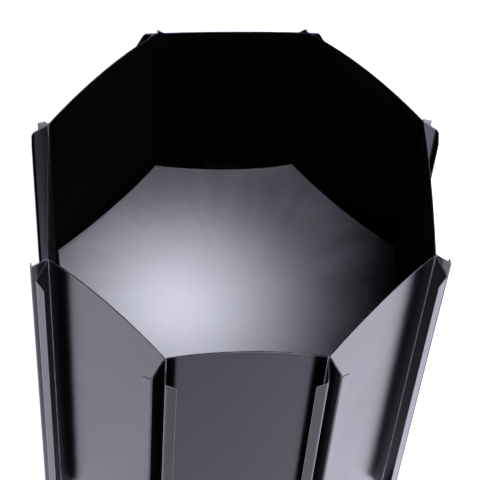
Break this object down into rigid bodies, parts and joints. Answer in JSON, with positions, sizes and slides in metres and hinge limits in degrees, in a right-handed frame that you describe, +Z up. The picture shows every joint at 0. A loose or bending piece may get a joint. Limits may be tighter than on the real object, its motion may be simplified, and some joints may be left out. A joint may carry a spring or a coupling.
{
  "type": "snoot",
  "caption": "Octagonal light snoot with hinged folded-sheet leaves on a round mounting plate and a stretched diffuser cloth inside.",
  "frame": {"origin": "centre of the mounting plate's underside, on the axis of the tube", "axes": "+Z up the tube towards the mouth, -Y out of the front leaf, +X to the right of the front leaf seen from outside"},
  "size_m": [0.3308, 0.3308, 0.4995],
  "materials": {
    "leaf_sheet": "satin",
    "base_sheet": "satin",
    "hinge_steel": "satin",
    "pin_steel": "satin",
    "rivet_metal": "satin",
    "frame_metal": "matte",
    "diffuser_fabric": "matte",
    "webbing": "matte"
  },
  "bodies": {
    "base": {"base_collar": "base_sheet", "bracket_rivets": "rivet_metal", "corner_post_1": "frame_metal", "corner_post_2": "frame_metal", "corner_post_3": "frame_metal", "corner_post_4": "frame_metal", "corner_post_5": "frame_metal", "corner_post_6": "frame_metal", "corner_post_7": "frame_metal", "corner_post_8": "frame_metal", "diffuser_cloth": "diffuser_fabric", "diffuser_frame": "frame_metal", "flange_rivets": "rivet_metal", "hinge_bracket_back": "hinge_steel", "hinge_bracket_back_left": "hinge_steel", "hinge_bracket_back_right": "hinge_steel", "hinge_bracket_front": "hinge_steel", "hinge_bracket_front_left": "hinge_steel", "hinge_bracket_front_right": "hinge_steel", "hinge_bracket_left": "hinge_steel", "hinge_bracket_right": "hinge_steel", "hinge_pin_back": "pin_steel", "hinge_pin_back_left": "pin_steel", "hinge_pin_back_right": "pin_steel", "hinge_pin_front": "pin_steel", "hinge_pin_front_left": "pin_steel", "hinge_pin_front_right": "pin_steel", "hinge_pin_left": "pin_steel", "hinge_pin_right": "pin_steel", "mounting_plate": "base_sheet", "post_screws": "pin_steel", "pull_tab": "webbing"},
    "leaf_front": {"leaf_front": "leaf_sheet", "hinge_strap_front": "hinge_steel", "strap_rivets_front": "rivet_metal"},
    "leaf_front_right": {"leaf_front_right": "leaf_sheet", "hinge_strap_front_right": "hinge_steel", "strap_rivets_front_right": "rivet_metal"},
    "leaf_right": {"leaf_right": "leaf_sheet", "hinge_strap_right": "hinge_steel", "strap_rivets_right": "rivet_metal"},
    "leaf_back_right": {"leaf_back_right": "leaf_sheet", "hinge_strap_back_right": "hinge_steel", "strap_rivets_back_right": "rivet_metal"},
    "leaf_back": {"leaf_back": "leaf_sheet", "hinge_strap_back": "hinge_steel", "strap_rivets_back": "rivet_metal"},
    "leaf_back_left": {"leaf_back_left": "leaf_sheet", "hinge_strap_back_left": "hinge_steel", "strap_rivets_back_left": "rivet_metal"},
    "leaf_left": {"leaf_left": "leaf_sheet", "hinge_strap_left": "hinge_steel", "strap_rivets_left": "rivet_metal"},
    "leaf_front_left": {"leaf_front_left": "leaf_sheet", "hinge_strap_front_left": "hinge_steel", "strap_rivets_front_left": "rivet_metal"}
  },
  "joints": [
    {"name": "front_hinge", "type": "hinge", "parent": "base", "child": "leaf_front", "pos_m": [0, -0.1542, 0.038], "axis": [1, 0, 0], "range_deg": [0, 90]},
    {"name": "front_right_hinge", "type": "hinge", "parent": "base", "child": "leaf_front_right", "pos_m": [0.10904, -0.10904, 0.038], "axis": [0.7071, 0.7071, 0], "range_deg": [0, 90]},
    {"name": "right_hinge", "type": "hinge", "parent": "base", "child": "leaf_right", "pos_m": [0.1542, 0, 0.038], "axis": [0, 1, 0], "range_deg": [0, 90]},
    {"name": "back_right_hinge", "type": "hinge", "parent": "base", "child": "leaf_back_right", "pos_m": [0.10904, 0.10904, 0.038], "axis": [-0.7071, 0.7071, 0], "range_deg": [0, 90]},
    {"name": "back_hinge", "type": "hinge", "parent": "base", "child": "leaf_back", "pos_m": [0, 0.1542, 0.038], "axis": [-1, 0, 0], "range_deg": [0, 90]},
    {"name": "back_left_hinge", "type": "hinge", "parent": "base", "child": "leaf_back_left", "pos_m": [-0.10904, 0.10904, 0.038], "axis": [-0.7071, -0.7071, 0], "range_deg": [0, 90]},
    {"name": "left_hinge", "type": "hinge", "parent": "base", "child": "leaf_left", "pos_m": [-0.1542, 0, 0.038], "axis": [0, -1, 0], "range_deg": [0, 90]},
    {"name": "front_left_hinge", "type": "hinge", "parent": "base", "child": "leaf_front_left", "pos_m": [-0.10904, -0.10904, 0.038], "axis": [0.7071, -0.7071, 0], "range_deg": [0, 90]}
  ]
}
